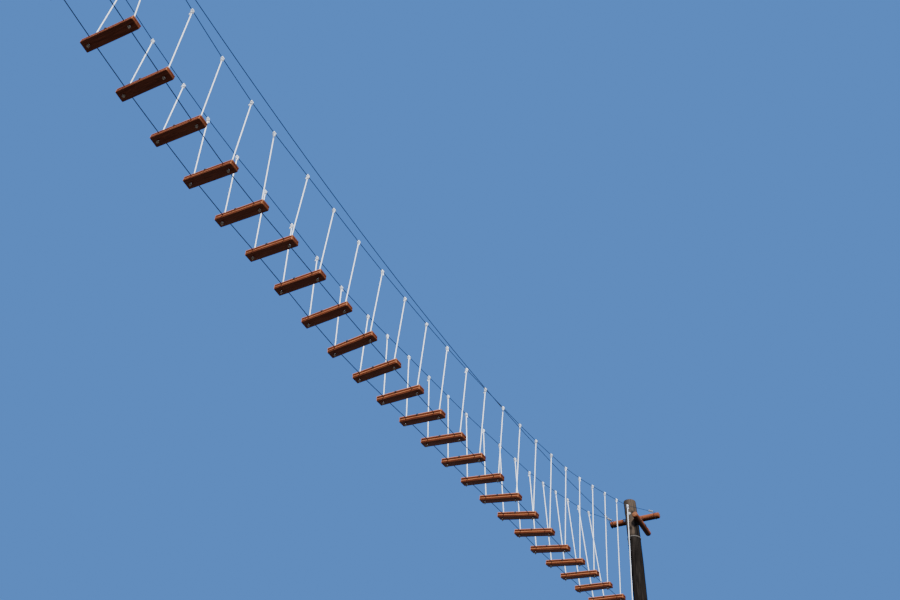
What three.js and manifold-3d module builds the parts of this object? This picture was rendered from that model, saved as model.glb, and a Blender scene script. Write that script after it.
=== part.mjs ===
// Rope suspension footbridge between two tall log poles. Millimetres, +Z up, the ground at Z = 0.
// X runs from the near pole (X = 0) to the far pole, and +Y is the left side on the way across.
import * as THREE from "three";
import { mergeVertices } from "three/addons/utils/BufferGeometryUtils.js";
import Module from "manifold-3d";

const wasm = await Module();
wasm.setup();

// The bridge as a whole
const SPAN = 21350; // from pole to pole
const TREADS = 33;
const PITCH = 640; // from tread to tread
const FIRST_TREAD = 435; // from the near pole
const LOWEST = { x: 8755, z: 10828 }; // the underside of the lowest tread
const NEAR_HANG = { slope: 0.243, bend: 3227 }; // the near half nears a straight slope
const FAR_HANG = { rise: 12.85, power: 1.76 }; // the far half curls up evenly
// The hung deck twists (degrees, with its right side up) and drops (mm) on its way, by tread.
const SWAY = [
  { tread: 0, twist: 0, drop: 0 },
  { tread: 9.5, twist: 4.8, drop: 12 },
  { tread: 12, twist: -0.5, drop: 8 },
  { tread: 14, twist: 0.6, drop: -22 },
  { tread: 17, twist: 6.8, drop: 42 },
  { tread: 21, twist: -5.3, drop: 0 },
  { tread: 22.3, twist: -5.5, drop: -6 },
  { tread: 25.3, twist: -10.5, drop: 6 },
  { tread: 27, twist: -9, drop: 42 },
  { tread: 30, twist: -3.8, drop: 0 },
  { tread: 31.5, twist: -3.8, drop: 0 },
  { tread: 34, twist: 0, drop: 0 },
];
const GAP = 0.4; // between pieces that touch

// One tread is two 38 mm boards, clamped over the foot cables.
const TREAD = { length: 670, width: 140, thick: 76 };

// Ropes: r is a rope's radius, y its distance from the middle.
const FOOT_CABLE = { r: 6, y: 220, clearOfTread: 3 };
const HAND_CABLE = { r: 5, y: 318, spread: 136, height: 1088, nearRise: 1161, farRise: 1193 };
const SAFETY_CABLE = { r: 6, nearY: 430, farY: 510, sag: 1140, steps: 16 };
const HANGER = { r: 7, y: 261, straight: 12 }; // it leaves the tread squarely for 12 mm
const FAR_LEAN = 509; // how far the last hangers would lean back, at the far pole
const SLID = { left: { 9: 120, 10: 123, 11: 123, 18: 85 }, right: { 9: -95, 13: -135 } }; // eyes, by tread
const KNOT = { r: 22, top: -15, bottom: -31, tailR: 12, tail: -46 }; // heights from the tread's underside
const ROPE_SIDES = 6;
const EYE_STEPS = 16;

// Logs. The crossarm bears on the back of the pole, and the rear arm passes right under it.
const POLE = { foot: 183, top: 130, sides: 16, steps: 12, y: -91, sweep: 129, overArm: 349 };
const LOG_SIDES = 12;
const LOG_OFFSET = 160; // of the crossarm and the foot beam from the pole's axis
const ARM = { r: 64, length: 1060, overDeck: { near: 2292, far: 2201 } };
const BEAM = { r: 73, length: 860, underCable: 1 };
const REAR_ARM = { r: 60, front: 250, back: -571, letIn: 45 };

// Landings: a deck on two bearers that are let into the pole's sides
const BEARER = { width: 38, height: 180, front: 224, back: -1097, letIn: 34 };
const DECK = { thick: 38, width: 1100, front: 233, back: -1106, clearOfPole: 15 };

const materials = {
  tread: new THREE.MeshStandardMaterial({ color: 0x8a4526, roughness: 0.75 }),
  log: new THREE.MeshStandardMaterial({ color: 0x6e5a44, roughness: 0.9 }),
  board: new THREE.MeshStandardMaterial({ color: 0x8d7a5e, roughness: 0.85 }),
  steel: new THREE.MeshStandardMaterial({ color: 0x4c4e50, roughness: 0.5, metalness: 0.8 }),
  rope: new THREE.MeshStandardMaterial({ color: 0xdcdcd6, roughness: 0.8 }),
};

const point = (x, y, z) => new THREE.Vector3(x, y, z);
const AXIS_X = point(1, 0, 0);
const AXIS_Y = point(0, 1, 0);
const AXIS_Z = point(0, 0, 1);

// How far the deck has twisted or dropped at a place.
function swayAt(x, kind) {
  const tread = (x - FIRST_TREAD) / PITCH + 1;
  const next = SWAY.findIndex((station) => station.tread >= tread);
  const [before, after] = [SWAY[next - 1], SWAY[next]];
  const share = THREE.MathUtils.smoothstep(tread, before.tread, after.tread);
  return THREE.MathUtils.lerp(before[kind], after[kind], share);
}

const twistAt = (x) => THREE.MathUtils.degToRad(swayAt(x, "twist"));

// The height of the treads' undersides.
function deckHeight(x) {
  const run = x - LOWEST.x;
  const hang =
    run > 0
      ? FAR_HANG.rise * (run / 1000) ** FAR_HANG.power
      : NEAR_HANG.slope * (Math.hypot(run, NEAR_HANG.bend) - NEAR_HANG.bend);
  return LOWEST.z + hang - swayAt(x, "drop");
}

function deckSlope(x) {
  const step = 5;
  return (deckHeight(x + step) - deckHeight(x - step)) / (2 * step);
}

// The way from the lowest tread to the pole ahead, as a share.
const shareAt = (x) => (x - LOWEST.x) / ((x > LOWEST.x ? SPAN : 0) - LOWEST.x);

// A point of a hand cable: it climbs and spreads from the lowest tread to the crossarms, and twists with the deck.
function handPoint(x, side) {
  const far = x > LOWEST.x;
  const share = shareAt(x);
  const height = HAND_CABLE.height + (far ? HAND_CABLE.farRise : HAND_CABLE.nearRise) * share ** 3;
  const y = HAND_CABLE.y + HAND_CABLE.spread * share ** (far ? 4 : 6);
  const twisted = -side * HANGER.y * Math.sin(twistAt(x));
  return point(x, side * y, deckHeight(x) + TREAD.thick + height + twisted);
}

// A geometry as a bare closed surface, with its shared corners merged.
function bare(geometry) {
  geometry.deleteAttribute("normal");
  geometry.deleteAttribute("uv");
  return mergeVertices(geometry);
}

function solidOf(geometry) {
  const closed = bare(geometry);
  return new wasm.Manifold(
    new wasm.Mesh({
      numProp: 3,
      vertProperties: closed.attributes.position.array,
      triVerts: new Uint32Array(closed.index.array),
    }),
  );
}

function geometryOf(solid) {
  const mesh = solid.getMesh();
  const geometry = new THREE.BufferGeometry();
  geometry.setAttribute("position", new THREE.BufferAttribute(mesh.vertProperties, 3));
  geometry.setIndex(new THREE.BufferAttribute(mesh.triVerts, 1));
  geometry.computeVertexNormals();
  return geometry;
}

const joined = (solids) => solids.reduce((all, solid) => all.add(solid));

// A round bar whose rows of points are given one by one, each with its centre, two directions and radius.
function barThrough(rows, sides) {
  const geometry = bare(new THREE.CylinderGeometry(1, 1, 1, sides, rows.length - 1, false, Math.PI / sides));
  const at = geometry.attributes.position;
  for (let i = 0; i < at.count; i++) {
    const { centre, across, up, r } = rows[Math.round((0.5 - at.getY(i)) * (rows.length - 1))];
    const p = centre.clone().addScaledVector(across, r * at.getX(i)).addScaledVector(up, r * at.getZ(i));
    at.setXYZ(i, p.x, p.y, p.z);
  }
  return solidOf(geometry);
}

// A rope through points, square to its mean direction at each, or turned as it is given there.
function ropeThrough(points, r, turns = []) {
  const rows = points.map((centre, i) => {
    if (turns[i]) return { centre, across: turns[i].left, up: turns[i].up, r };
    const before = points[Math.max(i - 1, 0)];
    const after = points[Math.min(i + 1, points.length - 1)];
    const along = after.clone().sub(before).normalize();
    const across = AXIS_Z.clone().cross(along).normalize();
    return { centre, across, up: along.clone().cross(across), r };
  });
  return barThrough(rows, ROPE_SIDES);
}

// A log along Y, with a flat on top and below.
const logAlongY = (r, length) =>
  new THREE.CylinderGeometry(r, r, length, LOG_SIDES, 1, false, Math.PI / LOG_SIDES);
const logAlongX = (r, length) => logAlongY(r, length).rotateZ(Math.PI / 2);

// A box between two values on each axis.
function box([x0, x1], [y0, y1], [z0, z1]) {
  const geometry = new THREE.BoxGeometry(x1 - x0, y1 - y0, z1 - z0);
  return geometry.translate((x0 + x1) / 2, (y0 + y1) / 2, (z0 + z1) / 2);
}

// The eye of a rope round a log that lies along Y.
function eyeRadius(logR, ropeR) {
  const play = 0.2;
  return (logR + ropeR + GAP) / Math.cos(Math.PI / EYE_STEPS) + play;
}

function eye(centre, logR, ropeR) {
  const ring = new THREE.TorusGeometry(eyeRadius(logR, ropeR), ropeR, ROPE_SIDES, EYE_STEPS);
  return solidOf(ring.rotateX(Math.PI / 2).translate(centre.x, centre.y, centre.z));
}

// Where a rope that comes along a direction runs into the top of its eye.
function eyeTop(centre, logR, ropeR, along) {
  const up = point(-along.z * Math.sign(along.x), 0, Math.abs(along.x)).normalize();
  return centre.clone().addScaledVector(up, eyeRadius(logR, ropeR));
}

const root = new THREE.Group();
root.name = "rope_suspension_footbridge";

function piece(group, name, geometry, material) {
  const mesh = new THREE.Mesh(geometry, material);
  mesh.name = name;
  group.add(mesh);
  return mesh;
}

// Each tread's place: along, left and up are its own X, Y and Z, twisted about its middle.
const treads = Array.from({ length: TREADS }, (_, i) => {
  const x = FIRST_TREAD + i * PITCH;
  const slope = deckSlope(x);
  const along = point(1, 0, slope).normalize();
  const square = point(-slope, 0, 1).normalize();
  const left = AXIS_Y.clone().applyAxisAngle(along, -twistAt(x));
  const up = square.clone().applyAxisAngle(along, -twistAt(x));
  const under = point(x, 0, deckHeight(x)).addScaledVector(square, TREAD.thick / 2);
  under.addScaledVector(up, -TREAD.thick / 2);
  return { x, slope, along, left, up, under };
});

function onTread({ under, along, left, up }, x, y, z) {
  return under.clone().addScaledVector(along, x).addScaledVector(left, y).addScaledVector(up, z);
}

// The treads that hang: the ones next to the poles lie on the foot cables alone.
const hung = treads.slice(1, -1);

// One tread in its own frame, with its underside at Z = 0, and holes for the cables and the hangers.
function treadGeometry(hangs) {
  const { width, length, thick } = TREAD;
  const past = 5;
  let solid = solidOf(box([-width / 2, width / 2], [-length / 2, length / 2], [0, thick]));
  for (const side of [1, -1]) {
    const tunnel = [-width / 2 - past, width / 2 + past].map((x) => point(x, side * FOOT_CABLE.y, thick / 2));
    const hole = [thick + past, -past].map((z) => ({
      centre: point(0, side * HANGER.y, z),
      across: AXIS_Y,
      up: AXIS_X,
      r: HANGER.r + GAP,
    }));
    solid = solid.subtract(ropeThrough(tunnel, FOOT_CABLE.r + GAP));
    if (hangs) solid = solid.subtract(barThrough(hole, ROPE_SIDES));
  }
  return geometryOf(solid);
}

function addTreads() {
  treads.forEach((tread, i) => {
    const name = `tread_${String(i + 1).padStart(2, "0")}`;
    const mesh = piece(root, name, treadGeometry(hung.includes(tread)), materials.tread);
    mesh.position.copy(tread.under);
    mesh.setRotationFromMatrix(new THREE.Matrix4().makeBasis(tread.along, tread.left, tread.up));
  });
}

// The heights at one end. The foot cable runs on from the last tread along its slope, over the foot beam.
function endAt(name, poleX, facing, tread) {
  const front = poleX + facing * LOG_OFFSET;
  const armX = poleX - facing * LOG_OFFSET;
  const cableZ = deckHeight(tread.x) + TREAD.thick / 2 + (front - tread.x) * tread.slope;
  const beamZ = cableZ - (BEAM.r + FOOT_CABLE.r + BEAM.underCable) * Math.hypot(1, tread.slope);
  const bearerZ = beamZ + BEAM.r * Math.cos(Math.PI / LOG_SIDES) + GAP;
  const deckZ = bearerZ + BEARER.height + GAP;
  const armZ = deckZ + DECK.thick + ARM.overDeck[name];
  return { name, poleX, facing, tread, front, armX, beamZ, bearerZ, deckZ, armZ, top: armZ + POLE.overArm };
}

const ends = [endAt("near", 0, 1, treads[0]), endAt("far", SPAN, -1, treads[TREADS - 1])];

// A pole tapers, and leaves the upright more and more towards its top, as a log does.
const poleY = (end, z) => POLE.y + POLE.sweep * (z / end.top) ** 8;
const poleR = (end, z) => POLE.foot + (POLE.top - POLE.foot) * (z / end.top);

function poleSolid(end) {
  const rows = Array.from({ length: POLE.steps + 1 }, (_, i) => {
    const z = end.top * (1 - (1 - i / POLE.steps) ** 1.5); // closer together towards the top
    return { centre: point(0, poleY(end, z), z), across: AXIS_X, up: AXIS_Y, r: poleR(end, z) };
  });
  return barThrough(rows, POLE.sides);
}

// A log laid at a place, and the notch that it needs in the pole.
function laid(make, r, length, place) {
  const past = 10;
  return {
    geometry: make(r, length),
    place,
    notch: solidOf(make(r + GAP, length + past).translate(place.x, place.y, place.z)),
  };
}

// One end in its own frame, with +X towards the bridge; the far end is mirrored.
function addEnd(end) {
  const group = new THREE.Group();
  group.position.x = end.poleX;
  group.scale.x = end.facing;
  root.add(group);

  const rearZ = end.armZ - (ARM.r + REAR_ARM.r) * Math.cos(Math.PI / LOG_SIDES) - GAP;
  const rearY = poleY(end, rearZ) - poleR(end, rearZ) - REAR_ARM.r + REAR_ARM.letIn;
  const rearX = (REAR_ARM.front + REAR_ARM.back) / 2;
  const logs = {
    crossarm: laid(logAlongY, ARM.r, ARM.length, point(-LOG_OFFSET, 0, end.armZ)),
    foot_beam: laid(logAlongY, BEAM.r, BEAM.length, point(LOG_OFFSET, 0, end.beamZ)),
    rear_arm: laid(logAlongX, REAR_ARM.r, REAR_ARM.front - REAR_ARM.back, point(rearX, rearY, rearZ)),
  };
  let pole = poleSolid(end);
  for (const [name, log] of Object.entries(logs)) {
    pole = pole.subtract(log.notch);
    piece(group, `${name}_${end.name}`, log.geometry, materials.log).position.copy(log.place);
  }

  const middle = end.bearerZ + BEARER.height / 2;
  const reach = poleR(end, middle) - BEARER.letIn;
  for (const [sideName, side] of [["left", 1], ["right", -1]]) {
    const inner = poleY(end, middle) + side * reach;
    const ys = [inner, inner + side * BEARER.width].sort((a, b) => a - b);
    const zs = [end.bearerZ, end.bearerZ + BEARER.height];
    const bearer = box([BEARER.back, BEARER.front], ys, zs);
    const wider = ([low, high]) => [low - GAP, high + GAP];
    pole = pole.subtract(solidOf(box([BEARER.back, BEARER.front], wider(ys), wider(zs))));
    piece(group, `landing_bearer_${sideName}_${end.name}`, bearer, materials.board);
  }

  const deckTop = end.deckZ + DECK.thick;
  const y = poleY(end, deckTop);
  const half = poleR(end, deckTop) + DECK.clearOfPole;
  const hole = box([-half, half], [y - half, y + half], [end.deckZ - DECK.thick, deckTop + DECK.thick]);
  const boards = box([DECK.back, DECK.front], [y - DECK.width / 2, y + DECK.width / 2], [end.deckZ, deckTop]);
  const deck = solidOf(boards).subtract(solidOf(hole));
  piece(group, `landing_deck_${end.name}`, geometryOf(deck), materials.board);

  piece(group, `pole_${end.name}`, geometryOf(pole), materials.log);
}

// A foot cable, straight inside each tread, with an eye round each foot beam.
function addFootCable(sideName, side) {
  const y = side * FOOT_CABLE.y;
  const beams = ends.map((end) => point(end.front, y, end.beamZ));
  const tips = ends.map((end, i) => {
    const along = point(-end.facing, 0, -end.facing * end.tread.slope).normalize();
    return eyeTop(beams[i], BEAM.r, FOOT_CABLE.r, along);
  });
  const half = TREAD.width / 2 + FOOT_CABLE.clearOfTread;
  const inTreads = treads.flatMap((tread) =>
    [-half, half].map((x) => onTread(tread, x, y, TREAD.thick / 2)),
  );
  const turns = [undefined, ...treads.flatMap((tread) => [tread, tread])];
  const run = ropeThrough([tips[0], ...inTreads, tips[1]], FOOT_CABLE.r, turns);
  const eyes = beams.map((beam) => eye(beam, BEAM.r, FOOT_CABLE.r));
  piece(root, `foot_cable_${sideName}`, geometryOf(joined([run, ...eyes])), materials.steel);
}

// The top of a tread's hanger. The far ones lean back from the pole, and a few eyes have slid.
function hangerTop(tread, sideName, side) {
  const number = treads.indexOf(tread) + 1;
  const lean = tread.x > LOWEST.x ? FAR_LEAN * shareAt(tread.x) ** 4 : 0;
  return handPoint(tread.x - lean + (SLID[sideName][number] ?? 0), side);
}

// One hanger: the knot under the tread, the way through it, and the rope up to the hand cable.
function hanger(tread, sideName, side) {
  const profile = [
    [KNOT.tail, KNOT.tailR],
    [KNOT.bottom, KNOT.r],
    [KNOT.top, KNOT.r],
    [-GAP, HANGER.r],
    [TREAD.thick + HANGER.straight, HANGER.r],
  ];
  const rows = profile.map(([z, r]) => ({
    centre: onTread(tread, 0, side * HANGER.y, z),
    across: tread.left,
    up: tread.along,
    r,
  }));
  rows.push({ centre: hangerTop(tread, sideName, side), across: AXIS_Y, up: AXIS_X, r: HANGER.r });
  return barThrough(rows.reverse(), ROPE_SIDES);
}

// A side line: a hand cable with an eye round each crossarm, and the hangers that carry the treads.
function addSideLine(sideName, side) {
  const y = side * (HAND_CABLE.y + HAND_CABLE.spread);
  const arms = ends.map((end) => point(end.armX, y, end.armZ));
  const tops = hung.map((tread) => hangerTop(tread, sideName, side));
  const tips = ends.map((_, i) => {
    const last = tops[i * (tops.length - 1)];
    const along = arms[i].clone().sub(last).setY(0).normalize();
    return eyeTop(arms[i], ARM.r, HAND_CABLE.r, along);
  });
  const cable = ropeThrough([tips[0], ...tops, tips[1]], HAND_CABLE.r);
  const eyes = arms.map((arm) => eye(arm, ARM.r, HAND_CABLE.r));
  const hangers = hung.map((tread) => hanger(tread, sideName, side));
  piece(root, `side_line_${sideName}`, geometryOf(joined([cable, ...eyes, ...hangers])), materials.rope);
}

// The overhead cable hangs in a parabola between the crossarms.
function addSafetyCable() {
  const { r, nearY, farY, sag, steps } = SAFETY_CABLE;
  const arms = ends.map((end, i) => point(end.armX, [nearY, farY][i], end.armZ));
  const run = arms[1].x - arms[0].x;
  const rise = arms[1].z - arms[0].z;
  const slope = (share) => (rise - 4 * sag * (1 - 2 * share)) / run;
  const tips = [point(-1, 0, -slope(0)), point(1, 0, slope(1))].map((along, i) =>
    eyeTop(arms[i], ARM.r, r, along.normalize()),
  );
  const between = Array.from({ length: steps - 1 }, (_, i) => {
    const share = (i + 1) / steps;
    const y = nearY + (farY - nearY) * share;
    const hang = 4 * sag * share * (1 - share);
    return point(arms[0].x + run * share, y, arms[0].z + eyeRadius(ARM.r, r) + rise * share - hang);
  });
  const eyes = arms.map((arm) => eye(arm, ARM.r, r));
  const cable = joined([ropeThrough([tips[0], ...between, tips[1]], r), ...eyes]);
  piece(root, "safety_cable", geometryOf(cable), materials.steel);
}

addTreads();
ends.forEach(addEnd);
for (const [sideName, side] of [["left", 1], ["right", -1]]) {
  addFootCable(sideName, side);
  addSideLine(sideName, side);
}
addSafetyCable();

export default root;
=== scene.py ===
import math
import random

import bmesh
import bpy
from bmesh.types import BMEdge, BMVert
from bpy.props import FloatProperty, FloatVectorProperty, IntProperty, PointerProperty
from mathutils import Matrix, Vector, noise


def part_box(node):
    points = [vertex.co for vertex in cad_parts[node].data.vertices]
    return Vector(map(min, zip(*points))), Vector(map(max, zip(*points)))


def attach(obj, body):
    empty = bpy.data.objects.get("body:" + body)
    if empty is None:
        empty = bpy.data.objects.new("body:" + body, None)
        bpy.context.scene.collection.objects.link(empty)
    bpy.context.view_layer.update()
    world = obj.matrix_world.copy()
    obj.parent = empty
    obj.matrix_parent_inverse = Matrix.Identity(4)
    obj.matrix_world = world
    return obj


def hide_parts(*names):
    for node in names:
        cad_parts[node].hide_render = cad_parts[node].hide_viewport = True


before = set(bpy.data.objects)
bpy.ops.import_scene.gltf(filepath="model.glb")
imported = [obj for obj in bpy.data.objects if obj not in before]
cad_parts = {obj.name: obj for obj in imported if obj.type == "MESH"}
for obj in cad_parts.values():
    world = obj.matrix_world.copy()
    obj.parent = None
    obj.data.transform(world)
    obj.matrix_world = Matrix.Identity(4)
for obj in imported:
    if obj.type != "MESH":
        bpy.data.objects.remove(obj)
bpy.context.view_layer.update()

bl_info = {
    "name": "Rope suspension footbridge",
    "version": (1, 0, 0),
    "blender": (4, 5, 0),
    "location": "3D View > Sidebar > Footbridge",
    "description": "Builds the boards, ropes, wire ropes, logs and fittings of a rope suspension footbridge",
    "category": "Object",
}

# Sizes of the bridge, in metres
TREAD_SIZE = Vector((0.67, 0.14, 0.076))  # along its boards, across them, and high
FIRST_TREAD = 0.435  # from the near pole
PITCH = 0.64  # from tread to tread
LOWEST = Vector((8.755, 0, 10.828))  # the underside of the lowest tread
NEAR_HANG = {"slope": 0.243, "bend": 3.227}
FAR_HANG = {"rise": 0.01285, "power": 1.76}
SWAY = {  # by tread: how far the deck twists, its right side up, in degrees, and how far it drops
    0: (0, 0), 9.5: (4.8, 0.012), 12: (-0.5, 0.008), 14: (0.6, -0.022), 17: (6.8, 0.042), 21: (-5.3, 0),
    22.3: (-5.5, -0.006), 25.3: (-10.5, 0.006), 27: (-9, 0.042), 30: (-3.8, 0), 31.5: (-3.8, 0), 34: (0, 0),
}
FOOT_CABLE_Y, FOOT_CABLE_R = 0.22, 0.006
HAND_CABLE_R = 0.005
HAND_Y, HAND_SPREAD = 0.318, 0.136
HAND_SPREAD_POWER = {"near": 6, "far": 4}
HAND_HEIGHT = 1.088  # of the hand cables over the lowest tread
HAND_RISE = {"near": 1.161, "far": 1.193}  # what they gain on the treads by the poles
OVERHEAD_CABLE_R = 0.006
OVERHEAD_Y = {"near": 0.43, "far": 0.51}
OVERHEAD_SAG = 1.14
HANGER_Y, HANGER_R = 0.261, 0.007
FAR_LEAN = 0.509  # how far the last hangers would lean back, at the far pole
SLID = {  # hangers' hitches that have slid along a hand cable, by tread
    "left": {9: 0.12, 10: 0.123, 11: 0.123, 18: 0.085}, "right": {9: -0.095, 13: -0.135},
}
POLE_FOOT_Y, POLE_SWEEP = -0.091, 0.129
POLE_FOOT_R, POLE_TOP_R = 0.183, 0.13
DOME = 0.03  # height of a pole's rounded top
ARM_SHADOW_SIDE = Vector((0.32, -0.95))  # of a pole: on this side the dark coating runs up to the arms, as a painted shadow of them
CAD_LOG_SIDES = 12
CLIP_ROD, SLING_R = 0.0032, 0.004
FLOOR_R = 600

# Bolts and screws: the radius and height of the head, and the radius of the washer
CLAMP_BOLT = (0.011, 0.009, 0.016)
TREAD_SCREW = (0.0035, 0.0012, 0.006)
PLATE_BOLT = (0.012, 0.01, 0.026)
THROUGH_BOLT = (0.016, 0.013, 0.03)
BEARER_BOLT = (0.014, 0.011, 0.026)
DECK_SCREW = (0.003, 0.001, 0.0055)

SIDES = {"left": 1, "right": -1}
FACING = {"near": 1, "far": -1}  # where the bridge lies from each end, along X
TREAD_NODES = sorted(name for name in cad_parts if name.startswith("tread_"))
POLE_TOP = {end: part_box(f"pole_{end}")[1].z for end in FACING}

TURN = 2 * math.pi
X_AXIS, Y_AXIS, Z_AXIS = Vector((1, 0, 0)), Vector((0, 1, 0)), Vector((0, 0, 1))
HERE = Matrix.Identity(4)
QUARTER = Matrix.Rotation(TURN / 4, 4, "Z")


def middle(node):
    """The middle of a CAD node's box."""
    low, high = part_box(node)
    return (low + high) / 2


def log_radius(node):
    """The radius of a CAD log, which lies on one of its flat sides."""
    low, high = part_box(node)
    return (high.z - low.z) / 2 / math.cos(math.pi / CAD_LOG_SIDES)


def limited(share):
    return min(max(share, 0), 1)


def sway_at(x):
    """How far the deck has twisted, as an angle, and dropped at a place."""
    tread = (x - FIRST_TREAD) / PITCH + 1
    after = min(station for station in SWAY if station >= tread)
    before = max(station for station in SWAY if station < after)
    share = (tread - before) / (after - before)
    share *= share * (3 - 2 * share)
    twist, drop = (a + (b - a) * share for a, b in zip(SWAY[before], SWAY[after]))
    return math.radians(twist), drop


def deck_height(x):
    """The height of the treads' undersides."""
    run = x - LOWEST.x
    if run > 0:
        hang = FAR_HANG["rise"] * run ** FAR_HANG["power"]
    else:
        hang = NEAR_HANG["slope"] * (math.hypot(run, NEAR_HANG["bend"]) - NEAR_HANG["bend"])
    return LOWEST.z + hang - sway_at(x)[1]


def tread_place(number):
    """The place of a tread: its middle, with X across the boards, Y along them and Z up from them."""
    x, step = TREAD_X[number], 0.005
    slope = math.atan2(deck_height(x + step) - deck_height(x - step), 2 * step)
    turn = Matrix.Rotation(-slope, 4, "Y") @ Matrix.Rotation(-sway_at(x)[0], 4, "X")
    return Matrix.Translation(middle(TREAD_NODES[number])) @ turn


TREAD_X = [FIRST_TREAD + number * PITCH for number in range(len(TREAD_NODES))]
PLACES = [tread_place(number) for number in range(len(TREAD_NODES))]
HUNG = range(2, len(PLACES))  # the treads that hang; the ones next to the poles lie on the foot cables alone


def share_at(x):
    """The way from the lowest tread to the pole ahead, as a share."""
    pole = "pole_far" if x > LOWEST.x else "pole_near"
    return (x - LOWEST.x) / (middle(pole).x - LOWEST.x)


def hand_point(x, side):
    """A point of a hand cable: it climbs and spreads towards the crossarms."""
    end = "far" if x > LOWEST.x else "near"
    share = share_at(x)
    height = HAND_HEIGHT + HAND_RISE[end] * share ** 3
    y = HAND_Y + HAND_SPREAD * share ** HAND_SPREAD_POWER[end]
    twisted = -side * HANGER_Y * math.sin(sway_at(x)[0])
    return Vector((x, side * y, deck_height(x) + TREAD_SIZE.z + height + twisted))


def hanger_top(number, side_name):
    """Where the hanger of a tread meets its hand cable."""
    x = TREAD_X[number - 1]
    lean = FAR_LEAN * share_at(x) ** 4 if x > LOWEST.x else 0
    return hand_point(x - lean + SLID[side_name].get(number, 0), SIDES[side_name])


def pole_at(end, z):
    """A pole's middle in Y and its radius at a height."""
    share = z / POLE_TOP[end]
    return POLE_FOOT_Y + POLE_SWEEP * share ** 8, POLE_FOOT_R + (POLE_TOP_R - POLE_FOOT_R) * share


# Settings that a user would change


def metres(name, description, default):
    return FloatProperty(name=name, description=description, default=default, unit="LENGTH")


def degrees(name, description, default):
    return FloatProperty(name=name, description=description, default=math.radians(default), subtype="ANGLE")


def amount(name, description, default):
    return FloatProperty(name=name, description=description, default=default)


def swatch(name, description, default):
    return FloatVectorProperty(name=name, description=description, default=default, subtype="COLOR")


class TreadSettings(bpy.types.PropertyGroup):
    seam: metres("Seam", "Gap between the two boards of a tread", 0.0012)
    eased: metres("Eased edge", "Rounding of a board's edges", 0.006)
    bow: metres("Bow", "How far a board strays from straight", 0.0016)
    stain: swatch("Stain", "Colour of the stained boards", (0.08, 0.019, 0.0065))
    dark_stain: swatch("Dark stain", "Colour in the grain", (0.028, 0.005, 0.0018))
    # Also the colour of the painted highlight along the boards' edges.
    worn: swatch("Worn wood", "Colour where feet wear it", (0.26, 0.10, 0.042))
    end_grain: swatch("End grain", "Colour of the sawn ends", (0.15, 0.046, 0.017))


class RopeSettings(bpy.types.PropertyGroup):
    lay: metres("Lay", "Length in which a strand goes once round", 0.06)
    shortest_hitch: metres("Shortest hitch", "From the hand cable to a hanger's knot", 0.02)
    longest_hitch: metres("Longest hitch", "From the hand cable to a hanger's knot", 0.03)
    rope: swatch("Rope", "Colour of the rope's crowns", (0.66, 0.73, 0.84))
    # Painted shade between the strands.
    valley: swatch("Valley", "Colour between the strands", (0.42, 0.44, 0.46))
    # Also the colour of painted shade on the knots under the treads and on the slings.
    soil_and_shade: swatch("Soiled rope", "Colour of soiled rope", (0.055, 0.042, 0.026))


class CableSettings(bpy.types.PropertyGroup):
    lays: amount("Lay", "Length in which a strand goes once round, in diameters", 6.8)
    tail: metres("Tail", "Length of the clamped tail", 0.26)
    clips: IntProperty(name="Clips", description="Clips on each tail", default=3, min=1)
    wire: swatch("Wire", "Colour of the strands", (0.024, 0.025, 0.027))
    zinc: swatch("Zinc", "Colour of the galvanised fittings", (0.52, 0.53, 0.54))


class LogSettings(bpy.types.PropertyGroup):
    sides: IntProperty(name="Sides", description="Faces round a log", default=64, min=12)
    lump: metres("Lumps", "How far a pole strays from round", 0.006)
    sling: metres("Sling", "From the crossarm down to the sling", 0.53)
    weathered: swatch("Weathered", "Colour of a pole's upper part", (0.056, 0.041, 0.029))
    # Also the colour of the painted shadow of the arms on a pole.
    coat_and_arm_shadow: swatch("Treated", "Colour of a pole's dark lower part", (0.0034, 0.0027, 0.0022))
    stained: swatch("Stained", "Colour of the arms", (0.165, 0.063, 0.03))


class LandingSettings(bpy.types.PropertyGroup):
    board: metres("Board", "Width of a deck board", 0.138)
    gap: metres("Gap", "Gap between deck boards", 0.009)
    wood: swatch("Wood", "Colour of the boards", (0.31, 0.225, 0.14))


class StageSettings(bpy.types.PropertyGroup):
    camera: FloatVectorProperty(
        name="Camera", description="Where the camera stands", default=(1.0887, -6.8327, 1.4785),
        subtype="TRANSLATION",
    )
    heading: degrees("Heading", "From X towards Y", 30.1264)
    pitch: degrees("Pitch", "Above the horizon", 46.6626)
    roll: degrees("Roll", "About the line of sight", 4.4835)
    lens: amount("Lens", "Focal length in millimetres", 46.177)
    shift: amount("Shift", "Vertical shift of the frame", -0.1222)
    sun: amount("Sun", "Strength of the soft key light", 14.0)
    sun_from: FloatVectorProperty(
        name="Sun from", description="Direction to the key light", default=(-0.62, -0.40, 0.67),
        subtype="DIRECTION",
    )
    backdrop: swatch("Backdrop", "Colour of the backdrop", (0.085, 0.25, 0.70))
    floor: swatch("Floor", "Colour of the floor", (0.34, 0.32, 0.29))


SETTINGS = {
    "footbridge_treads": TreadSettings,
    "footbridge_ropes": RopeSettings,
    "footbridge_cables": CableSettings,
    "footbridge_logs": LogSettings,
    "footbridge_landings": LandingSettings,
    "footbridge_stage": StageSettings,
}


# Materials: every piece carries "grain", its own coordinates with X along the fibres


def scaled(colour, factor):
    return [factor * value for value in colour]


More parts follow.
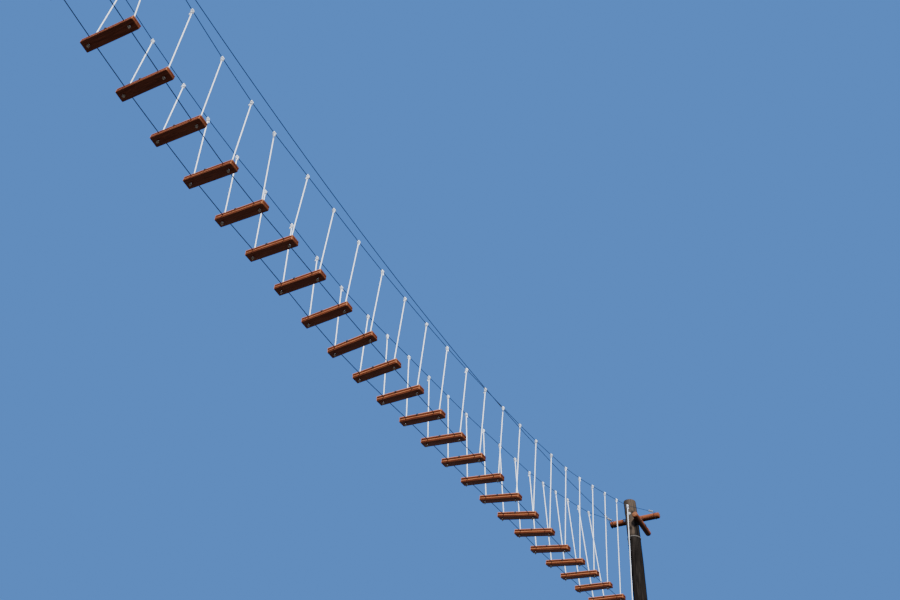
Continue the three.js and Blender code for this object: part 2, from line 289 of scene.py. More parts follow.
class Look:
    """A material, and short ways to add its nodes. A value is a number, a colour or another node's socket."""

    def __init__(self, name, roughness=0.7, metallic=0.0, specular=0.5):
        self.material = bpy.data.materials.new(name)
        self.material.use_nodes = True
        self.tree = self.material.node_tree
        self.shader = self.tree.nodes["Principled BSDF"]
        self.set("Roughness", roughness)
        self.set("Metallic", metallic)
        self.set("Specular IOR Level", specular)

    def feed(self, socket, value):
        if isinstance(value, bpy.types.NodeSocket):
            self.tree.links.new(value, socket)
        else:
            socket.default_value = value

    def set(self, name, value):
        """Sets or links one of the shader's own sockets."""
        self.feed(self.shader.inputs[name], value)

    def node(self, kind, inputs=None, **options):
        """Adds a node and gives its outputs."""
        made = self.tree.nodes.new("ShaderNode" + kind)
        for name, value in options.items():
            setattr(made, name, value)
        for name, value in (inputs or {}).items():
            self.feed(made.inputs[name], value)
        return made.outputs

    def attribute(self, name, output="Fac"):
        return self.node("Attribute", attribute_name=name)[output]

    def split(self, vector):
        return self.node("SeparateXYZ", {0: vector})

    def calc(self, operation, *values, clamp=False):
        return self.node("Math", dict(enumerate(values)), operation=operation, use_clamp=clamp)[0]

    def plus(self, a, b):
        return self.calc("ADD", a, b)

    def minus(self, a, b):
        return self.calc("SUBTRACT", a, b)

    def times(self, a, b):
        return self.calc("MULTIPLY", a, b)

    def distance(self, y, z):
        return self.calc("SQRT", self.plus(self.calc("POWER", y, 2.0), self.calc("POWER", z, 2.0)))

    def spread(self, value, low, high, to_low=0.0, to_high=1.0):
        """Maps low to high smoothly onto another range."""
        numbers = {"Value": value, "From Min": low, "From Max": high, "To Min": to_low, "To Max": to_high}
        return self.node("MapRange", numbers, interpolation_type="SMOOTHSTEP")[0]

    def blend(self, share, a, b, blend_type="MIX"):
        """Mixes two colours by a share."""
        a, b = (value if isinstance(value, bpy.types.NodeSocket) else (*value, 1) for value in (a, b))
        return self.node("Mix", {0: share, 6: a, 7: b}, data_type="RGBA", blend_type=blend_type)[2]

    def tint(self, base, other, mask, low, high, amount=1.0):
        """Mixes in another colour where a mask is high."""
        return self.blend(self.spread(mask, low, high, 0.0, amount), base, other)

    def fibres(self, scale, detail=5.0, rough=0.62, varied=True):
        """Noise drawn out along the fibres, and different on each board or log where it is varied."""
        place = self.node("Mapping", {"Vector": self.attribute("grain", "Vector"), "Scale": scale})[0]
        inputs = {"Vector": place, "Scale": 1.0, "Detail": detail, "Roughness": rough}
        if not varied:
            return self.node("TexNoise", inputs)["Fac"]
        inputs["W"] = self.times(self.attribute("tone"), 37.0)
        return self.node("TexNoise", inputs, noise_dimensions="4D")["Fac"]

    def mottle(self, scale, detail, vector=None):
        """Plain noise, over the object's own coordinates unless others are given."""
        vector = vector or self.node("TexCoord")["Object"]
        return self.node("TexNoise", {"Vector": vector, "Scale": scale, "Detail": detail})["Fac"]

    def up(self):
        """How far the surface looks up, from -1 to 1."""
        return self.split(self.node("NewGeometry")["Normal"])[2]

    def paint_shade_below(self, colour, low, high, under):
        """Paints shade on what looks down: wholly below low, not at all above high."""
        painted_shade = self.spread(self.up(), low, high, under, 1.0)
        return self.blend(1.0, colour, self.node("CombineColor", {0: painted_shade, 1: painted_shade, 2: painted_shade})[0], "MULTIPLY")

    def finished(self, colour, height, depth, strength):
        """Gives the material, with its colour and a relief of some depth."""
        self.set("Base Color", colour)
        self.set("Normal", self.node("Bump", {"Height": height, "Distance": depth, "Strength": strength})[0])
        return self.material


def worn_and_highlit_edges(look, streaks):
    """How bare a board's edges are, its upper ones most, from its own coordinates and its half sizes: partly
    wear, partly a painted highlight along the arrises.
    """
    grain = look.attribute("grain", "Vector")
    at = look.split(look.node("VectorMath", {0: grain}, operation="ABSOLUTE")[0])
    half = look.split(look.attribute("half", "Vector"))
    height = look.split(grain)[2]
    from_end, from_side = (look.minus(half[axis], at[axis]) for axis in (0, 1))
    from_rim = look.calc("MINIMUM", from_end, from_side)
    corner = look.calc("MAXIMUM", from_end, from_side)
    upper = look.calc("MAXIMUM", from_rim, look.minus(half[2], height))
    lower = look.calc("MAXIMUM", from_rim, look.plus(half[2], height))
    ragged = look.times(look.minus(streaks, 0.5), 0.014)
    upper = look.plus(look.calc("MINIMUM", upper, corner), ragged)
    bare_and_highlit = look.spread(upper, 0.007, 0.013, 0.95, 0)
    return look.calc("MAXIMUM", bare_and_highlit, look.spread(look.plus(lower, ragged), 0.001, 0.006, 0.4, 0))


def sawn_timber(name, light, dark, worn, wear=0.8, under=0.45, ring_waves=900.0):
    """Boards: streaky grain and growth rings, worn on top, with painted shade underneath."""
    look = Look(name, specular=0.06)
    tone = look.attribute("tone")
    along = look.split(look.attribute("grain", "Vector"))
    streaks = look.fibres((5, 95, 95))
    patches = look.fibres((3.5, 14, 14), detail=2.0)
    fine = look.fibres((24, 700, 700), detail=2.0, varied=False)

    pith_y = look.plus(along[1], look.spread(tone, 0, 1, -0.09, 0.09))
    pith_z = look.plus(along[2], look.spread(patches, 0.2, 0.8, 0.05, 0.09))
    from_pith = look.plus(look.distance(pith_y, pith_z), look.times(streaks, 0.006))
    rings = look.calc("SINE", look.times(from_pith, ring_waves))
    shade = look.plus(streaks, look.times(rings, 0.07))
    wood = look.tint(dark, light, shade, 0.3, 0.72)
    wood = look.tint(wood, dark, patches, 0.35, 0.8, 0.5)
    between = [0.55 * a + 0.45 * b for a, b in zip(light, dark)]
    wood = look.tint(wood, between, tone, 0, 1, 0.35)

    scuffs = look.plus(look.times(patches, 0.7), look.times(fine, 0.5))
    trodden = look.times(look.spread(look.up(), 0.5, 0.9), look.spread(scuffs, 0.42, 0.72, 0, wear))
    wood = look.blend(trodden, wood, worn)
    # Lighter edges: wear, and a painted highlight along the arrises.
    wood = look.blend(worn_and_highlit_edges(look, streaks), wood, worn)
    # Painted shade on the faces that look down.
    wood = look.paint_shade_below(wood, -0.9, -0.5, under)
    look.set("Roughness", look.spread(streaks, 0.2, 0.8, 0.82, 0.55))
    return look.finished(wood, look.plus(streaks, look.times(fine, 0.4)), 0.0025, 0.7)


def end_grain(name, light, dark, ring_waves=1100.0):
    """The sawn end of a board or a log: growth rings, and small radial splits with painted shade in them."""
    look = Look(name, roughness=0.85, specular=0.06)
    grain = look.attribute("grain", "Vector")
    along = look.split(grain)
    wobble = look.mottle(30.0, 3.0, grain)
    y = look.plus(along[1], look.spread(look.attribute("tone"), 0, 1, -0.05, 0.05))
    radius = look.plus(look.distance(y, along[2]), look.times(wobble, 0.008))
    rings = look.calc("SINE", look.times(radius, ring_waves))
    turn = look.calc("ARCTAN2", along[2], y)
    rays = look.mottle(9.0, 4.0, look.node("CombineXYZ", {0: turn, 1: radius})[0])
    shade = look.plus(look.spread(rings, -1, 1, 0, 0.45), look.spread(wobble, 0.3, 0.7, 0, 0.55))
    wood = look.blend(shade, dark, light)
    # Painted shade in the radial splits.
    wood = look.tint(wood, scaled(dark, 0.25), rays, 0.62, 0.7, 0.75)
    return look.finished(wood, look.plus(rings, look.times(wobble, 2.0)), 0.0008, 0.6)


def log_wood(name, light, dark, lower, under=0.55):
    """A peeled log: long fibres, fine drying cracks with painted shade in them, dark knots, a dark coating
    where the coating attribute is 1, which on a pole also paints the arms' shadow and the shade just under
    them, and painted shade underneath.
    """
    look = Look(name, specular=0.04)
    streaks = look.fibres((2.2, 46, 46))
    broad = look.fibres((1.1, 9, 9), detail=2.0)
    lines = look.fibres((1.6, 80, 80), detail=3.0, rough=0.5)
    thin = look.spread(look.calc("ABSOLUTE", look.minus(lines, 0.5)), 0.0, 0.022, 1, 0)
    crack = look.times(thin, look.spread(broad, 0.45, 0.6))
    wood = look.tint(dark, light, streaks, 0.28, 0.72)
    wood = look.tint(wood, dark, broad, 0.4, 0.75, 0.45)
    # The dark coating below, and on a pole the painted shadow of the arms and the shade under them.
    coat_and_arm_shadow = look.plus(look.attribute("coat_and_arm_shadow"), look.times(streaks, 0.5))
    coat_with_shadow = look.tint(scaled(lower, 0.5), scaled(lower, 4), streaks, 0.3, 0.75)
    wood = look.tint(wood, coat_with_shadow, coat_and_arm_shadow, 0.55, 0.95)
    wood = look.tint(wood, scaled(dark, 0.3), look.attribute("knot"), 0.25, 0.8, 0.8)
    # Painted shade in the drying cracks.
    wood = look.blend(look.times(crack, 0.85), wood, scaled(dark, 0.15))
    # Painted shade on the faces that look down.
    wood = look.paint_shade_below(wood, -0.95, -0.3, under)
    look.set("Roughness", look.spread(streaks, 0.2, 0.8, 0.9, 0.68))
    return look.finished(wood, look.minus(streaks, look.times(crack, 0.8)), 0.006, 0.8)


def laid_fibre(name, crown_colour, valley_shade_colour, soil_colour):
    """Laid rope: clean crowns, painted shade in the valleys between the strands, fine yarns along them, and
    soil, whose per-part amount also paints shade on the knots under the treads and on the slings.
    """
    look = Look(name, roughness=0.85)
    look.set("Sheen Weight", 0.15)
    yarns = look.fibres((60, 1400, 1400), detail=2.0, varied=False)
    soil = look.fibres((6, 40, 40), detail=3.0)
    # Painted shade in the valleys between the strands.
    fibre = look.tint(valley_shade_colour, crown_colour, look.attribute("crown"), 0.0, 0.6)
    # Soil, and the per-part amount, which paints shade on the knots under the treads and on the slings.
    soil_and_shade = look.calc("ADD", look.spread(soil, 0.5, 0.85, 0, 0.35), look.attribute("soil_and_shade"), clamp=True)
    return look.finished(look.blend(soil_and_shade, fibre, soil_colour), yarns, 0.0007, 0.6)


def wire_strands(name, colour):
    """Wire rope: dull steel crowns, painted shade in the valleys between the strands, and the fine wires of
    each strand.
    """
    look = Look(name, metallic=0.4, specular=0.3)
    wires = look.fibres((40, 2200, 2200), detail=1.0, varied=False)
    dull = look.fibres((5, 30, 30), detail=3.0, varied=False)
    # Painted shade in the valleys between the strands.
    steel = look.tint(scaled(colour, 0.25), colour, look.attribute("crown"), 0.0, 0.8)
    steel = look.tint(steel, scaled(colour, 0.5), dull, 0.4, 0.75, 0.5)
    look.set("Roughness", look.spread(dull, 0.3, 0.7, 0.42, 0.62))
    return look.finished(steel, wires, 0.0005, 0.5)


def zinc_coat(name, colour):
    """Galvanised fittings: faint spangle and a dull bloom."""
    look = Look(name, metallic=0.9)
    place = look.node("TexCoord")["Object"]
    spangle = look.node("TexVoronoi", {"Vector": place, "Scale": 160.0})["Color"]
    bloom = look.mottle(45.0, 4.0)
    flake = look.node("SeparateColor", {0: spangle})[0]
    zinc = look.tint(colour, scaled(colour, 0.62), flake, 0, 1, 0.35)
    zinc = look.tint(zinc, scaled(colour, 0.8), bloom, 0.45, 0.75, 0.6)
    look.set("Roughness", look.spread(bloom, 0.3, 0.7, 0.36, 0.6))
    return look.finished(zinc, bloom, 0.0004, 0.4)


def dark_steel(name):
    """Bolts that have gone dark and rusty."""
    look = Look(name, metallic=0.5)
    rust = look.mottle(90.0, 5.0)
    steel = look.tint((0.035, 0.033, 0.032), (0.12, 0.05, 0.025), rust, 0.45, 0.7)
    look.set("Roughness", look.spread(rust, 0.4, 0.7, 0.5, 0.85))
    return look.finished(steel, rust, 0.0006, 0.6)


def floor_paint(name, colour):
    look = Look(name, roughness=0.95)
    look.set("Base Color", look.tint(colour, scaled(colour, 0.97), look.mottle(0.4, 5.0), 0.35, 0.7))
    return look.material


def kept(name, make, *colours, **more):
    """A material that several pieces share, made the first time it is asked for."""
    return bpy.data.materials.get(name) or make(name, *map(tuple, colours), **more)


def rope_material(settings):
    return kept("hanger_rope", laid_fibre, settings.rope, settings.valley, settings.soil_and_shade)


# Parts: each is a bmesh of its own, and a piece joins its parts


def new_part():
    """An empty bmesh with the coordinates and shares that the materials read."""
    part = bmesh.new()
    for name in ("grain", "half"):
        part.verts.layers.float_vector.new(name)
    for name in ("tone", "crown", "knot", "coat_and_arm_shadow", "soil_and_shade"):
        part.verts.layers.float.new(name)
    return part


def layers(part, *names):
    """Some of the layers that new_part made."""
    kinds = part.verts.layers
    return [kinds.float_vector.get(name) or kinds.float.get(name) for name in names]


def to_data(name, part, materials=()):
    """A mesh of a bmesh, with its materials."""
    mesh = bpy.data.meshes.new(name)
    part.to_mesh(mesh)
    part.free()
    for material in materials:
        mesh.materials.append(material)
    return mesh


def join(parts):
    """One bmesh of parts that each come with a place."""
    whole = bmesh.new()
    for part, place in parts:
        part.transform(place)
        scratch = to_data("scratch", part)
        whole.from_mesh(scratch)
        bpy.data.meshes.remove(scratch)
    return whole


def put(name, data):
    """Adds an object to the scene."""
    made = bpy.data.objects.new(name, data)
    bpy.context.scene.collection.objects.link(made)
    return made


def make_piece(name, parts, materials, replaces=(), sharp=35):
    """Makes a piece of its parts, and ties it to the frame."""
    mesh = to_data(name, join(parts), materials)
    mesh.shade_smooth()
    mesh.set_sharp_from_angle(angle=math.radians(sharp))
    made = put(name, mesh)
    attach(made, "root")
    if replaces:
        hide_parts(*replaces)


def ease(part, edges, offset, segments=2):
    """Takes the sharpness off some edges."""
    bmesh.ops.bevel(
        part, geom=edges, offset=offset, segments=segments, profile=0.5, affect="EDGES", material=-1
    )


def close_ends(part):
    bmesh.ops.holes_fill(part, edges=[edge for edge in part.edges if edge.is_boundary])
    bmesh.ops.recalc_face_normals(part, faces=part.faces)


def draw_out(part, spacing, steps, turn=0):
    """Draws an outline out along Z, step by step, and twists it by a turn in all."""
    bmesh.ops.spin(
        part, geom=part.edges[:], cent=(0, 0, 0), axis=Z_AXIS, dvec=(0, 0, spacing), angle=turn, steps=steps
    )


def only(kind, geometry):
    """The vertices, or the edges, among what an operator gives back."""
    return [item for item in geometry if isinstance(item, kind)]


def prism(part, sides, lower, upper, height, at):
    """A closed prism or cone about a point, by its radius below and above."""
    bmesh.ops.create_cone(
        part, cap_ends=True, segments=sides, radius1=lower, radius2=upper, depth=height,
        matrix=Matrix.Translation(at),
    )


def board(size, draw, settings, cuts=6):
    """A sawn board with its length along X: eased edges, a slight bow, and end grain on its ends."""
    part = new_part()
    grain, half, tone = layers(part, "grain", "half", "tone")
    bmesh.ops.create_cube(part, size=1)
    bmesh.ops.scale(part, vec=size, verts=part.verts)
    for cut in range(1, cuts):
        at = Vector((size[0] * (cut / cuts - 0.5), 0, 0))
        everything = part.verts[:] + part.edges[:] + part.faces[:]
        bmesh.ops.bisect_plane(part, geom=everything, plane_co=at, plane_no=X_AXIS)
    ease(part, [edge for edge in part.edges if edge.calc_face_angle(0) > 1], settings.eased)
    shift = draw.random() * 50
    own_tone = draw.random()
    noise.seed_set(1)  # or else noise_vector starts from the clock
    for vert in part.verts:
        vert[grain] = vert.co
        vert[half] = Vector(size) / 2
        vert[tone] = own_tone
        wander = noise.noise_vector(Vector((vert.co.x * 3 + shift, 0, 0)))
        rough = noise.noise_vector(vert.co * 25 + Vector((shift, 0, 0)))
        vert.co += Vector((0, wander.y, wander.z * 0.5)) * settings.bow + rough * 0.0006
    for face in part.faces:
        face.material_index = int(abs(face.normal.x) > 0.9)
    return part


def hex_bolt(radius, height, washer, slot=0):
    """A hexagon head on a round washer, standing up from the origin along Z."""
    part = new_part()
    plate = height * 0.3
    half_way = plate + height / 2
    prism(part, 20, washer, washer * 0.97, plate, (0, 0, plate / 2))
    prism(part, 6, radius, radius * 0.96, height, (0, 0, half_way))
    top = [edge for edge in part.edges if min(vert.co.z for vert in edge.verts) > half_way]
    ease(part, top, radius * 0.12, segments=1)
    for face in part.faces:
        face.material_index = slot
    return part


def pointing(direction, at):
    """A place at a point, with Z along a direction."""
    turn = direction.to_track_quat("Z", "Y").to_matrix().to_4x4()
    return Matrix.Translation(at) @ turn


def evenly(points, step):
    """The same line as evenly spaced points, about a step apart."""
    lengths = [(b - a).length for a, b in zip(points, points[1:])]
    count = max(round(sum(lengths) / step), 1)
    spacing = sum(lengths) / count
    line, index, passed = [points[0].copy()], 0, 0.0
    for number in range(1, count):
        while passed + lengths[index] < number * spacing:
            passed += lengths[index]
            index += 1
        share = (number * spacing - passed) / lengths[index]
        line.append(points[index].lerp(points[index + 1], share))
    return line + [points[-1].copy()], spacing


def straight_strands(radius, strands, spacing, turn, start, count, tone):
    """A straight open length of twisted strands, drawn out along Z from its outline."""
    part = new_part()
    grain, crown, tones = layers(part, "grain", "crown", "tone")
    to_strand, valley = (3, 0.74) if strands < 5 else (2, 0.82)
    outline = bmesh.ops.create_circle(part, segments=strands * to_strand, radius=radius)["verts"]
    for index, vert in enumerate(outline):
        on_crown = index % to_strand > 0
        vert[crown] = float(on_crown)
        vert[tones] = tone
        if not on_crown:
            vert.co *= valley
        vert[grain] = vert.co
    part.transform(Matrix.Translation((0, 0, start * spacing)) @ Matrix.Rotation(start * turn, 4, "Z"))
    draw_out(part, spacing, count, count * turn)
    return part


def laid_rope(points, radius, strands, lay, tone=0.5, soil=0.0, turn_step=45):
    """Strands laid round each other along a line."""
    line, spacing = evenly(points, lay * turn_step / 360)
    steps = len(line) - 1
    longest = 40  # steps drawn out at once
    lengths = ((start, min(longest, steps - start)) for start in range(0, steps, longest))
    turn = TURN * spacing / lay
    part = join((straight_strands(radius, strands, spacing, turn, *length, tone), HERE) for length in lengths)
    bmesh.ops.remove_doubles(part, verts=part.verts, dist=radius / 50)
    close_ends(part)

    ways = [(b - a).normalized() for a, b in zip([line[0], *line], [*line[1:], line[-1]])]
    ways = [(a + b).normalized() for a, b in zip(ways, [*ways[1:], ways[-1]])]
    ways[0] = (line[1] - line[0]).normalized()
    ways[-1] = (line[-1] - line[-2]).normalized()
    side = ways[0].orthogonal().normalized()
    frames = []
    for way, before in zip(ways, [ways[0], *ways]):
        side = before.rotation_difference(way) @ side
        side = (side - way * side.dot(way)).normalized()
        frames.append((side, way.cross(side)))
    grain, soil_and_shade = layers(part, "grain", "soil_and_shade")
    for vert in part.verts:
        number = min(max(round(vert.co.z / spacing), 0), steps)
        across, up = frames[number]
        start = vert[grain]
        vert[grain] = Vector((number * spacing, start.x, start.y))
        vert[soil_and_shade] = soil
        vert.co = line[number] + across * vert.co.x + up * vert.co.y
    return part


def log(rows, draw, settings, knots=6, checks=3, lump=None):
    """A peeled log along Z through rows of (height, radius), with knots and drying checks."""
    part = new_part()
    sides = settings.sides
    bmesh.ops.create_circle(part, segments=sides, radius=1)
    draw_out(part, 1, len(rows) - 1)
    close_ends(part)

    own_tone = draw.random()
    shift = Vector((draw.random() * 50, 0, 0))
    low, high = rows[0][0], rows[-1][0]
    knot_list, check_list = [], []
    for _ in range(knots):
        knot_list.append((draw.uniform(low, high), draw.uniform(0, TURN), draw.uniform(0.016, 0.034)))
    for _ in range(checks):
        start = draw.uniform(low, high * 0.7)
        column = draw.randrange(sides)
        stop = start + draw.uniform(0.2, 0.5) * (high - low)
        check_list.append((column, start, stop, draw.uniform(0.4, 1)))
    lump = settings.lump if lump is None else lump
    wide = TURN / sides
    grain, tone, knot = layers(part, "grain", "tone", "knot")
    for vert in part.verts:
        height, radius = rows[min(max(round(vert.co.z), 0), len(rows) - 1)]
        angle = math.atan2(vert.co.y, vert.co.x)
        column = round(angle / wide) % sides
        for at, start, stop, depth in check_list:
            share = (height - start) / (stop - start)
            if not 0 < share < 1:
                continue
            opening = math.sin(math.pi * share) ** 0.5 * depth
            apart = (column - at + sides // 2) % sides - sides // 2
            if apart == 0:
                radius -= 0.11 * radius * opening
            elif abs(apart) == 1:
                angle -= apart * 0.62 * wide * opening
        around = Vector((math.cos(angle), math.sin(angle), height * 0.7))
        radius += lump * (noise.noise(around * 1.6 + shift) + 0.4 * noise.noise(around * 5 + shift))
        swelling = 0.0
        for knot_height, knot_angle, knot_size in knot_list:
            turned = (angle - knot_angle + math.pi) % TURN - math.pi
            away = math.hypot(height - knot_height, turned * radius) / knot_size
            swelling = max(swelling, math.exp(-0.5 * away ** 2))
        radius += 0.007 * swelling
        vert.co = Vector((radius * math.cos(angle), radius * math.sin(angle), height))
        vert[grain] = Vector((height, vert.co.x, vert.co.y))
        vert[tone] = own_tone
        vert[knot] = swelling
    for face in part.faces:
        face.material_index = int(len(face.verts) > 4)
    return part


def log_rows(length, radius, step=0.05, chamfer=0.012):
    """Rows of a short log with chamfered ends, from one end to the other."""
    count = round((length - 2 * chamfer) / step)
    inner = [(chamfer + (length - 2 * chamfer) * i / count, radius) for i in range(count + 1)]
    return [(0, radius - chamfer), *inner, (length, radius - chamfer)]


def eye_line(centre, log_r, rope_r, start, facing, tail, steps=40):
    """A rope's line from its clamped tail, round a log along Y, to the start of its straight run.
    Also gives where the tail meets the run, and the run's direction and the one under it."""
    reach = log_r + rope_r

    def flat(point):
        return Vector((facing * (point.x - centre.x), point.z - centre.z))

    def on_log(angle):
        u, w = reach * math.cos(angle), reach * math.sin(angle)
        return Vector((centre.x + facing * u, centre.y, centre.z + w))

    def touch(to, sign):
        return math.atan2(to.y, to.x) + sign * math.acos(reach / to.length)

    top = touch(flat(start), 1)
    leave = on_log(top)
    run = (start - leave).normalized()
    under = Vector((-run.z * facing, 0, run.x * facing)).normalized() * -1
    meet = leave + run * (log_r * 2.6) + under * rope_r * 2.05
    bottom = touch(flat(meet), -1) + TURN
    round_log = [on_log(top + (bottom - top) * i / steps) for i in range(steps + 1)]
    return [meet + run * tail, meet, *reversed(round_log)], meet, run, under


def wire_clip(rope_radius):
    """A clip over two ropes that lie along X, the live one above the other."""
    part = new_part()
    bow = rope_radius + CLIP_ROD
    top = rope_radius * 2.2 + 0.016
    over = rope_radius * 2
    bmesh.ops.create_circle(part, segments=8, radius=CLIP_ROD, matrix=Matrix.Translation((0, bow, top)))
    down = bmesh.ops.extrude_edge_only(part, edges=part.edges[:])["geom"]
    bmesh.ops.translate(part, vec=(0, 0, -rope_radius - top), verts=only(BMVert, down))
    lower = [edge for edge in only(BMEdge, down) if edge.is_boundary]
    bent = bmesh.ops.spin(part, geom=lower, cent=(0, 0, -rope_radius), axis=-X_AXIS, angle=math.pi, steps=8)
    rise = bmesh.ops.extrude_edge_only(part, edges=only(BMEdge, bent["geom_last"]))["geom"]
    bmesh.ops.translate(part, vec=(0, 0, rope_radius + top), verts=only(BMVert, rise))
    close_ends(part)
    place = Matrix.Translation((0, 0, over + 0.004)) @ Matrix.Diagonal((0.024, 2 * bow + 0.014, 0.009, 1))
    saddle = bmesh.ops.create_cube(part, size=1, matrix=place)["verts"]
    ease(part, list(dict.fromkeys(edge for vert in saddle for edge in vert.link_edges)), 0.002)
    for side in (bow, -bow):
        prism(part, 6, 0.0062, 0.0062, 0.006, (0, side, over + 0.0118))
    return part


# Pieces: their parts come with their places


def tread_parts(place, draw, settings):
    """A tread's two boards, a dark bolt in the near edge of the upper one, and screws on top."""
    thick = (TREAD_SIZE.z - settings.seam) / 2
    for layer in (-1, 1):
        slack = draw.uniform(0, 0.003)
        size = (TREAD_SIZE.x - slack, TREAD_SIZE.y - draw.uniform(0, 0.0015), thick - 0.0004)
        at = Vector((0, draw.uniform(-0.5, 0.5) * slack, layer * (thick + settings.seam) / 2))
        yield board(size, draw, settings), place @ (Matrix.Translation(at) @ QUARTER)
    face = place @ Matrix.Translation((-TREAD_SIZE.y / 2 + 0.0006, draw.uniform(0.02, 0.05), 0.026))
    yield hex_bolt(*CLAMP_BOLT, slot=2), face @ Matrix.Rotation(-TURN / 4, 4, "Y")
    for side in (1, -1):
        for across, along in ((-0.04, 0.185), (0.04, 0.185), (0.04, 0.305), (-0.04, 0.305)):
            spot = Vector((across, side * along, TREAD_SIZE.z / 2 - 0.0016))
            turn = Matrix.Rotation(draw.uniform(0, TURN), 4, "Z")
            yield hex_bolt(*TREAD_SCREW, slot=2), place @ Matrix.Translation(spot) @ turn


class FOOTBRIDGE_OT_treads(bpy.types.Operator):
    """Two stained boards for every tread, one on the other, with their bolts and screws"""

    bl_idname = "footbridge.treads"
    bl_label = "Treads"

    def execute(self, context):
        settings = context.scene.footbridge_treads
        materials = [
            kept("stained_board", sawn_timber, settings.stain, settings.dark_stain, settings.worn),
            kept("stained_end_grain", end_grain, settings.end_grain, settings.dark_stain),
            kept("dark_bolt", dark_steel),
        ]
        for number, (name, place) in enumerate(zip(TREAD_NODES, PLACES)):
            parts = tread_parts(place, random.Random(100 + number), settings)
            make_piece(f"{name}_boards", parts, materials, [name])
        return {"FINISHED"}


def foot_points(side):
    """A foot cable's points, straight inside each tread."""
    half = TREAD_SIZE.y / 2 + 0.003
    return [place @ Vector((x, side * FOOT_CABLE_Y, 0)) for place in PLACES for x in (-half, half)]


def overhead_points(count=40):
    """The overhead cable's sagging run between the crossarms."""
    near, far = middle("crossarm_near"), middle("crossarm_far")
    top = log_radius("crossarm_near") + OVERHEAD_CABLE_R
    points = []
    for number in range(1, count):
        share = number / count
        point = near.lerp(far, share)
        point.y = OVERHEAD_Y["near"] + (OVERHEAD_Y["far"] - OVERHEAD_Y["near"]) * share
        point.z += top - 4 * OVERHEAD_SAG * share * (1 - share)
        points.append(point)
    return points


def cable_piece(name, node_name, points, eye_y, logs, radius, settings, clips):
    """A wire rope from log to log, with an eye round each; also finds the places of its clips."""
    lines = []
    thick = log_radius(f"{logs}_near")
    for end, start in (("near", points[0]), ("far", points[-1])):
        centre = middle(f"{logs}_{end}")
        centre.y = eye_y[end]
        line, meet, run, under = eye_line(centre, thick, radius, start, FACING[end], settings.tail)
        lines.append(line)
        turn = Matrix((run, -under.cross(run), -under)).transposed().to_4x4()
        for number in range(settings.clips):
            along = settings.tail * (0.1 + 0.75 * number / max(settings.clips - 1, 1))
            at = meet - under * radius + run * along
            clips[end].append((radius, Matrix.Translation(at) @ turn))
    rope = laid_rope(lines[0] + points + lines[1][::-1], radius, 6, radius * 2 * settings.lays)
    wire = kept("wire_rope", wire_strands, settings.wire)
    make_piece(name, [(rope, HERE)], [wire], [node_name], sharp=80)


class FOOTBRIDGE_OT_cables(bpy.types.Operator):
    """The wire ropes: foot cables, hand cables and the overhead cable, with the clips on their tails"""

    bl_idname = "footbridge.cables"
    bl_label = "Cables"

    def execute(self, context):
        settings = context.scene.footbridge_cables
        clips = {"near": [], "far": []}
        for name, side in SIDES.items():
            foot = f"foot_cable_{name}"
            foot_y = dict.fromkeys(FACING, side * FOOT_CABLE_Y)
            hand_y = dict.fromkeys(FACING, side * (HAND_Y + HAND_SPREAD))
            tops = [hanger_top(number, name) for number in HUNG]
            cable_piece(
                f"{foot}_wire", foot, foot_points(side), foot_y, "foot_beam", FOOT_CABLE_R, settings, clips
            )
            cable_piece(
                f"hand_cable_{name}", f"side_line_{name}", tops, hand_y, "crossarm", HAND_CABLE_R, settings,
                clips,
            )
        cable_piece(
            "overhead_cable", "safety_cable", overhead_points(), OVERHEAD_Y, "crossarm", OVERHEAD_CABLE_R,
            settings, clips,
        )
        zinc = kept("galvanised", zinc_coat, settings.zinc)
        for end, places in clips.items():
            parts = ((wire_clip(radius), place) for radius, place in places)
            make_piece(f"cable_clips_{end}", parts, [zinc])
        return {"FINISHED"}


def round_turns(cable, knot, along, outward, turns=3, steps=14):
    """Up from a hanger's knot, round the cable side by side and down again."""
    reach = HAND_CABLE_R + HANGER_R
    pitch = 2.06 * HANGER_R
    legs = along * 0.0065
    inward = along.cross(outward)
    inward *= math.copysign(1, inward.dot(knot - cable))
    line = [knot - legs]
    for step in range(turns * steps + 1):
        share = step / steps
        radial = inward * math.cos(TURN * share) + outward * math.sin(TURN * share)
        line.append(cable + along * pitch * (share - turns / 2) + radial * reach)
    return [*line, knot + legs]


def coil(knot, down, outward, start, turns=1.3, steps=16):
    """A hanger's end, wound round the hanger at the knot, and its short tail."""
    across = outward.cross(down)
    line = []
    for step in range(steps + 1):
        turn = start + turns * TURN * step / steps
        radial = across * math.cos(turn) + outward * math.sin(turn)
        line.append(knot + down * (0.018 * step / steps - 0.008) + radial * 0.0142)
    return [*line, line[-1] + down * 0.014 + radial * 0.003, line[-1] + down * 0.03 + radial * 0.009]


def stopper_knot(size=0.0046, steps=36):
    """The line of a tight overhand knot below Z = 0, with a short tail."""
    line = [Vector((0, 0, -0.002))]
    for step in range(steps + 1):
        turn = TURN * step / steps
        x = size * (math.sin(turn) + 2 * math.sin(2 * turn))
        y = size * (math.cos(turn) - 2 * math.cos(2 * turn))
        line.append(Vector((x, y, -0.0225 - 0.0075 * math.sin(3 * turn))))
    return [*line, Vector((0.002, 0.001, -0.036)), Vector((0.003, 0.002, -0.045))]


